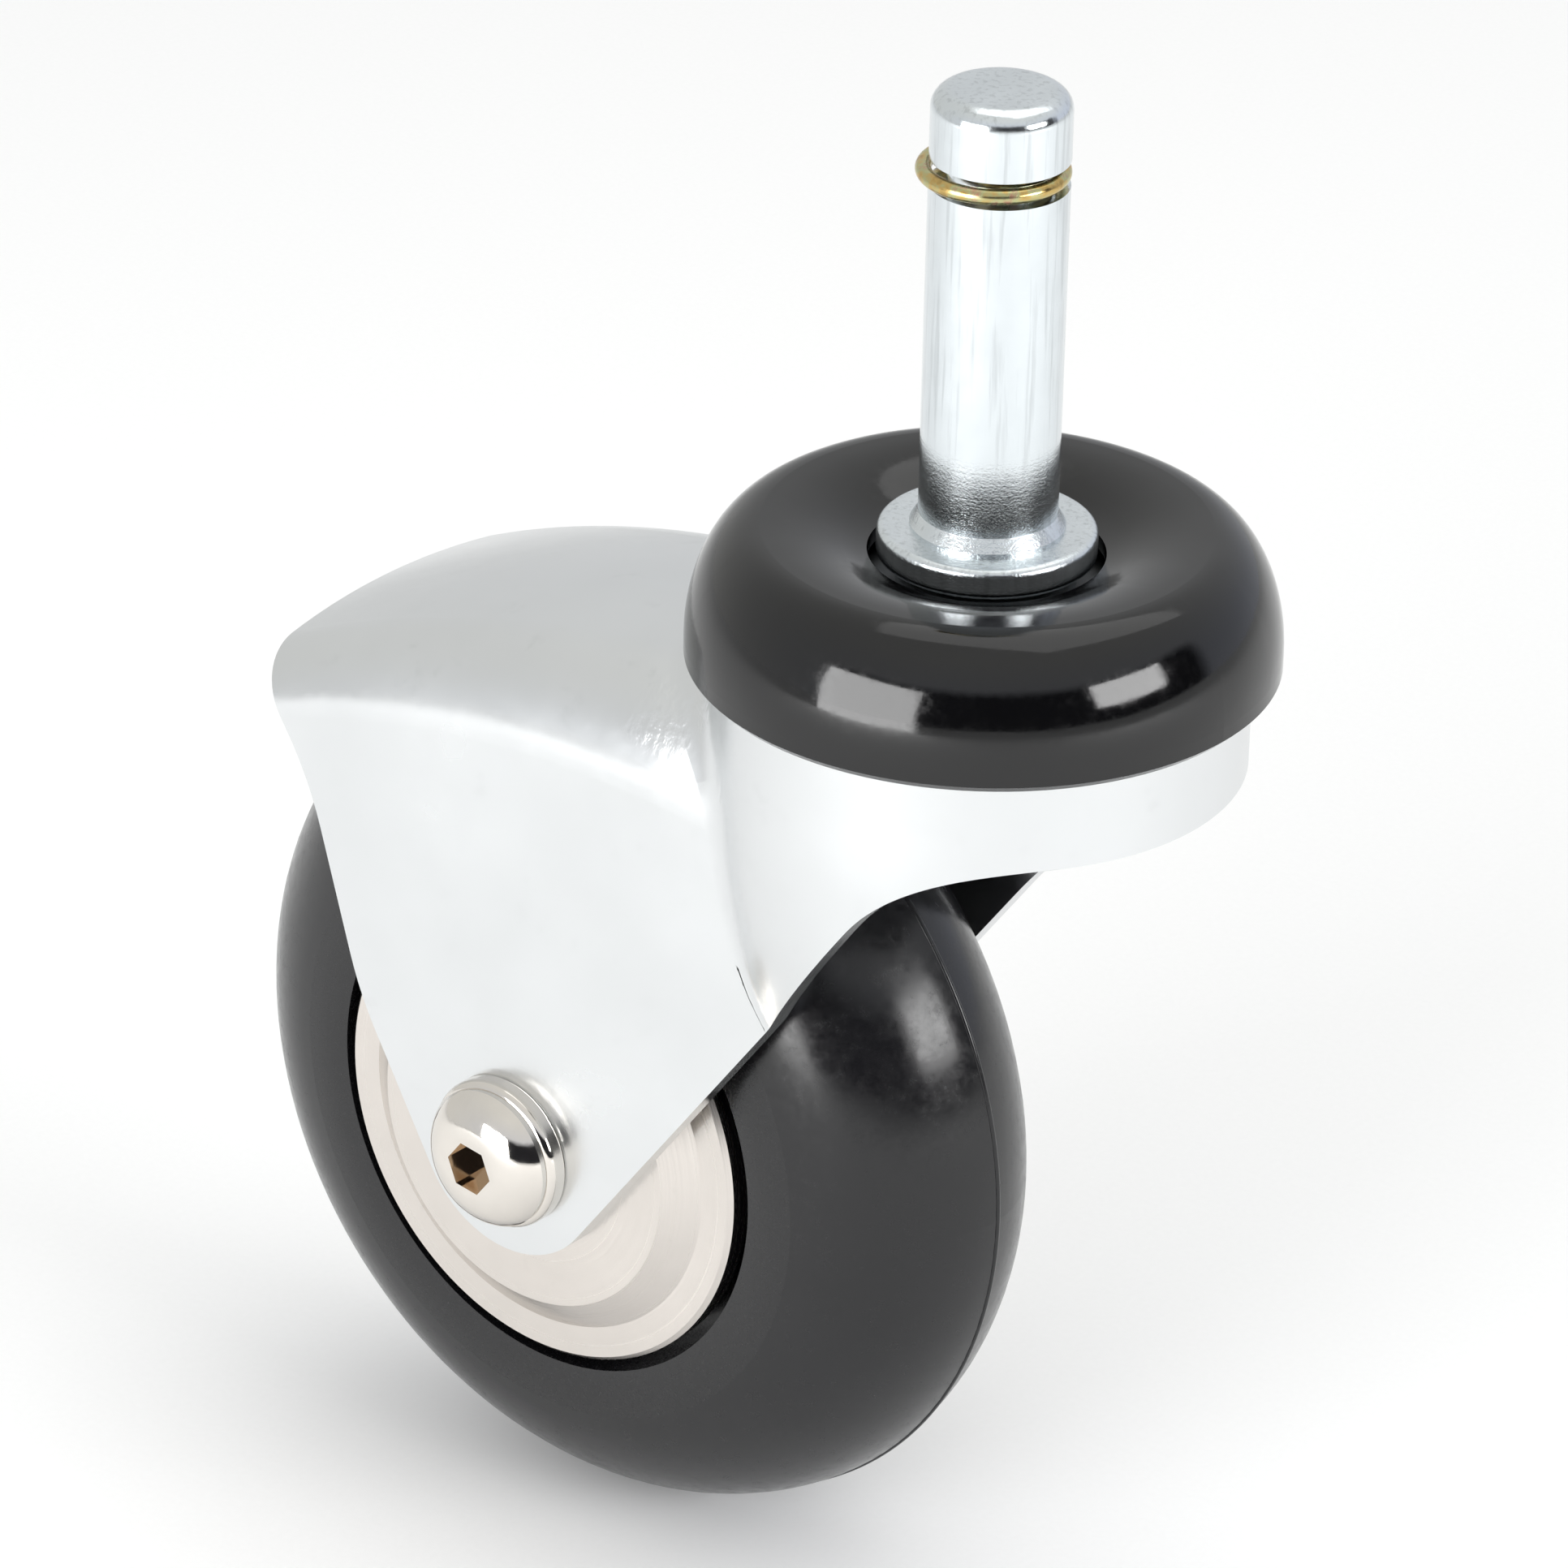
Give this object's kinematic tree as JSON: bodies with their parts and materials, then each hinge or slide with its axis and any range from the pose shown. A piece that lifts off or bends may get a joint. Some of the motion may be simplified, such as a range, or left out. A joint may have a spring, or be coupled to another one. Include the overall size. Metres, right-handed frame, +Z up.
{
  "type": "swivel chair caster",
  "caption": "Swivel chair caster with a grip-ring stem, pressed steel fork, round bumper cover and a single rounded black wheel with metal thread guards.",
  "frame": {"origin": "centre of the collar's flat top face, on the swivel axis", "axes": "+Z up the stem, along the swivel axis; the wheel trails towards -X; the axle lies along Y, with the screw head at -Y"},
  "size_m": [0.0963, 0.0506, 0.1374],
  "materials": {
    "zinc_plated_steel": "bright bluish zinc plate, fine turning marks",
    "yellow_zinc_wire": "yellow chromate over zinc on spring wire, slightly iridescent",
    "hardened_race_steel": "hardened and oiled",
    "bearing_steel": "ground and polished",
    "satin_chrome_plate": "bright satin plate",
    "gloss_black_cover": "glossy black moulding",
    "nickel_plated_screw": "polished nickel plate",
    "nickel_thread_guard": "pressed and satin nickel plated",
    "nylon_insert": "natural nylon",
    "moulded_wheel_core": "black moulded polypropylene",
    "black_tyre": "smooth black thermoplastic rubber, satin gloss",
    "bearing_cage_nylon": "moulded nylon",
    "bearing_shield_steel": "thin pressed steel"
  },
  "bodies": {
    "stem_set": {"stem": "zinc_plated_steel", "grip_ring": "yellow_zinc_wire", "upper_race": "hardened_race_steel", "lower_race": "hardened_race_steel"},
    "fork_set": {"fork": "satin_chrome_plate", "swivel_cover": "gloss_black_cover", "axle_bolt": "nickel_plated_screw", "axle_nut": "nickel_plated_screw", "nut_insert": "nylon_insert", "axle_washers": "nickel_plated_screw", "axle_sleeve": "zinc_plated_steel", "spacer_rings": "zinc_plated_steel", "thread_guard_left": "nickel_thread_guard", "thread_guard_right": "nickel_thread_guard", "bearing_left_inner_ring": "bearing_steel", "bearing_right_inner_ring": "bearing_steel"},
    "wheel": {"tyre": "black_tyre", "wheel_core": "moulded_wheel_core", "bearing_left_outer_ring": "bearing_steel", "bearing_right_outer_ring": "bearing_steel", "bearing_left_shields": "bearing_shield_steel", "bearing_right_shields": "bearing_shield_steel"},
    "upper_ball_row": {"upper_balls": "bearing_steel"},
    "lower_ball_row": {"lower_balls": "bearing_steel"},
    "bearing_left_row": {"bearing_left_balls": "bearing_steel", "bearing_left_cage": "bearing_cage_nylon"},
    "bearing_right_row": {"bearing_right_balls": "bearing_steel", "bearing_right_cage": "bearing_cage_nylon"}
  },
  "joints": [
    {"name": "swivel", "type": "hinge", "parent": "stem_set", "child": "fork_set", "pos_m": [0, 0, 0], "axis": [0, 0, 1], "continuous": true},
    {"name": "wheel_spin", "type": "hinge", "parent": "fork_set", "child": "wheel", "pos_m": [-0.03445, 0, -0.0622], "axis": [0, 1, 0], "continuous": true},
    {"name": "upper_ball_orbit", "type": "hinge", "parent": "stem_set", "child": "upper_ball_row", "pos_m": [0, 0, 0], "axis": [0, 0, 1], "continuous": true},
    {"name": "lower_ball_orbit", "type": "hinge", "parent": "stem_set", "child": "lower_ball_row", "pos_m": [0, 0, 0], "axis": [0, 0, 1], "continuous": true},
    {"name": "bearing_left_orbit", "type": "hinge", "parent": "fork_set", "child": "bearing_left_row", "pos_m": [-0.03445, 0, -0.0622], "axis": [0, 1, 0], "continuous": true},
    {"name": "bearing_right_orbit", "type": "hinge", "parent": "fork_set", "child": "bearing_right_row", "pos_m": [-0.03445, 0, -0.0622], "axis": [0, 1, 0], "continuous": true}
  ],
  "couplings": [
    {"joint": "upper_ball_orbit", "follows": "swivel", "ratio": 0.5},
    {"joint": "lower_ball_orbit", "follows": "swivel", "ratio": 0.5},
    {"joint": "bearing_left_orbit", "follows": "wheel_spin", "ratio": 0.628},
    {"joint": "bearing_right_orbit", "follows": "wheel_spin", "ratio": 0.628}
  ]
}
